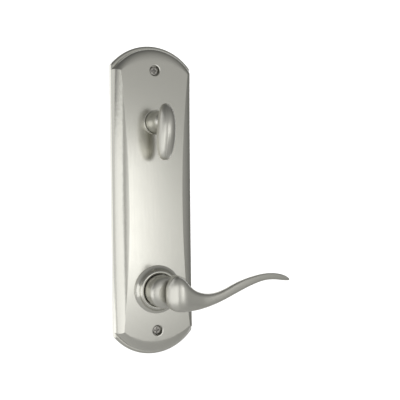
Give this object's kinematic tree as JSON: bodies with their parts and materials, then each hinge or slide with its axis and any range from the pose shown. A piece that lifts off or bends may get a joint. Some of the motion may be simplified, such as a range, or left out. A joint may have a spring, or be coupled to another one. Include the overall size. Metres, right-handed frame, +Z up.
{
  "type": "interconnect lockset interior trim",
  "caption": "Interior trim of an interconnect lockset: tall arched escutcheon with a waisted panel, wave lever, oval turnpiece and the rack linkage that lets the lever free the deadbolt.",
  "frame": {"origin": "on the door's face, at the middle of the escutcheon's width and height", "axes": "+Z up the door, +Y into the door, +X towards the lever's tip"},
  "size_m": [0.1441, 0.1057, 0.261],
  "materials": {
    "satin_nickel": "satin brushed nickel plate",
    "screw_nickel": "bright nickel plate",
    "zinc_plated_steel": "zinc plated",
    "plain_steel": "machined, oiled",
    "spring_steel": "drawn wire",
    "bearing_brass": "turned"
  },
  "bodies": {
    "trim": {"escutcheon": "satin_nickel", "mounting_plate": "zinc_plated_steel", "upper_post": "zinc_plated_steel", "lower_post": "zinc_plated_steel", "upper_face_screw": "screw_nickel", "lower_face_screw": "screw_nickel", "lever_rose": "satin_nickel", "lever_bushing": "bearing_brass", "turn_collar": "satin_nickel", "turn_bushing": "bearing_brass", "upper_guide_rivet": "zinc_plated_steel", "lower_guide_rivet": "zinc_plated_steel", "return_spring": "spring_steel"},
    "lever": {"lever": "satin_nickel", "lever_shank": "plain_steel", "lever_spindle": "plain_steel", "lever_cam": "plain_steel", "left_drive_pin": "plain_steel", "right_drive_pin": "plain_steel", "lever_retaining_ring": "plain_steel", "lever_thrust_washer": "plain_steel"},
    "turn": {"turnpiece": "satin_nickel", "turn_pinion": "bearing_brass", "turn_tailpiece": "plain_steel", "turn_clip": "plain_steel", "turn_washer": "plain_steel"},
    "link": {"link_bar": "plain_steel"}
  },
  "joints": [
    {"name": "lever_hinge", "type": "hinge", "parent": "trim", "child": "lever", "pos_m": [0, 0, -0.0738], "axis": [0, 1, 0], "range_deg": [-50, 50], "stiffness_Nm_per_rad": 1.5, "springref_deg": -1.23, "deforming": ["return_spring"]},
    {"name": "turn_hinge", "type": "hinge", "parent": "trim", "child": "turn", "pos_m": [0, 0, 0.0659], "axis": [0, 1, 0], "range_deg": [0, 90]},
    {"name": "link_slide", "type": "slide", "parent": "trim", "child": "link", "axis": [0, 0, -1], "range_m": [0, 0.0118]}
  ],
  "couplings": [
    {"joint": "link_slide", "follows": "turn_hinge", "m_per_rad": 0.0075}
  ]
}
